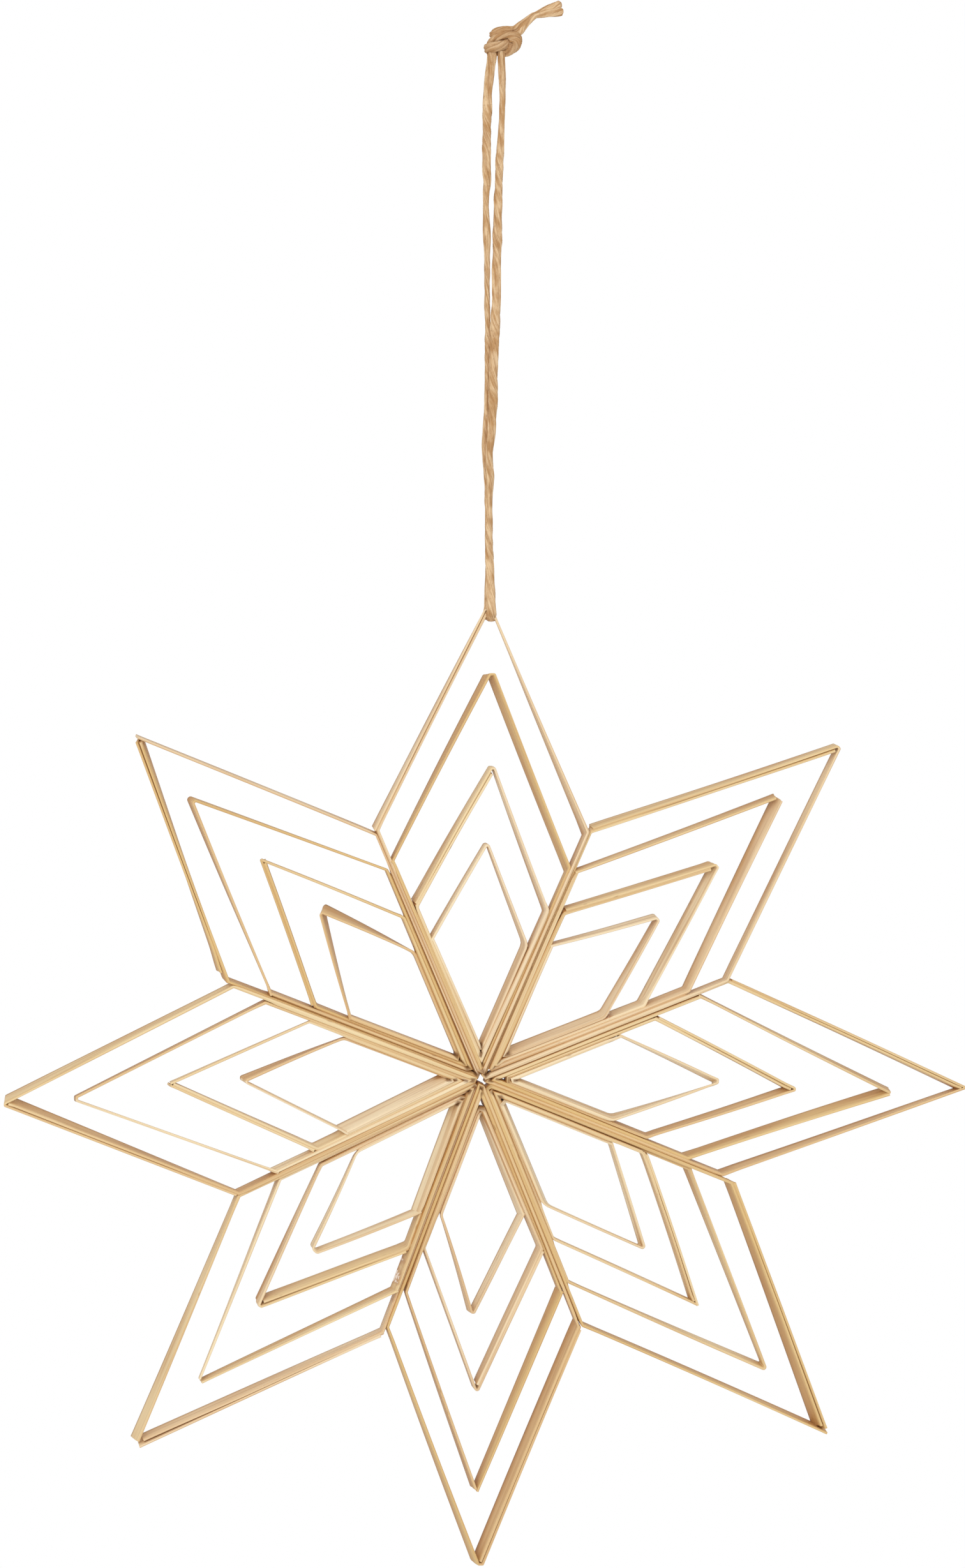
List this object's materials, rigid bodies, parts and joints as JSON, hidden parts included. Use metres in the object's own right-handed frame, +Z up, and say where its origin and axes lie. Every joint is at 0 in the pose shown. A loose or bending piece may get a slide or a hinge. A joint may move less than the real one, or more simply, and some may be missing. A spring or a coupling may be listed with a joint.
{
  "type": "hanging straw star",
  "caption": "Flat eight-pointed star of nested rhombic frames folded from straw strips on edge and glued along its spokes, hung by a knotted twine loop.",
  "frame": {"origin": "the place where a hook takes the twine loop, between its two strands just under the knot", "axes": "+Z up along the hanging twine, +X to the right seen from the front, +Y to the back, so the star faces -Y and its strips' widths run along Y"},
  "size_m": [0.243, 0.0102, 0.3939],
  "materials": {
    "straw": "satin, split straw with lengthwise grain",
    "twine": "matt, twisted natural twine"
  },
  "bodies": {
    "root": {"top_frame_1": "straw", "top_frame_2": "straw", "top_frame_3": "straw", "top_frame_4": "straw", "upper_right_frame_1": "straw", "upper_right_frame_2": "straw", "upper_right_frame_3": "straw", "upper_right_frame_4": "straw", "right_frame_1": "straw", "right_frame_2": "straw", "right_frame_3": "straw", "right_frame_4": "straw", "lower_right_frame_1": "straw", "lower_right_frame_2": "straw", "lower_right_frame_3": "straw", "lower_right_frame_4": "straw", "bottom_frame_1": "straw", "bottom_frame_2": "straw", "bottom_frame_3": "straw", "bottom_frame_4": "straw", "lower_left_frame_1": "straw", "lower_left_frame_2": "straw", "lower_left_frame_3": "straw", "lower_left_frame_4": "straw", "left_frame_1": "straw", "left_frame_2": "straw", "left_frame_3": "straw", "left_frame_4": "straw", "upper_left_frame_1": "straw", "upper_left_frame_2": "straw", "upper_left_frame_3": "straw", "upper_left_frame_4": "straw", "cord_loop": "twine", "knot": "twine", "cord_end_upper": "twine", "cord_end_lower": "twine"}
  },
  "joints": []
}
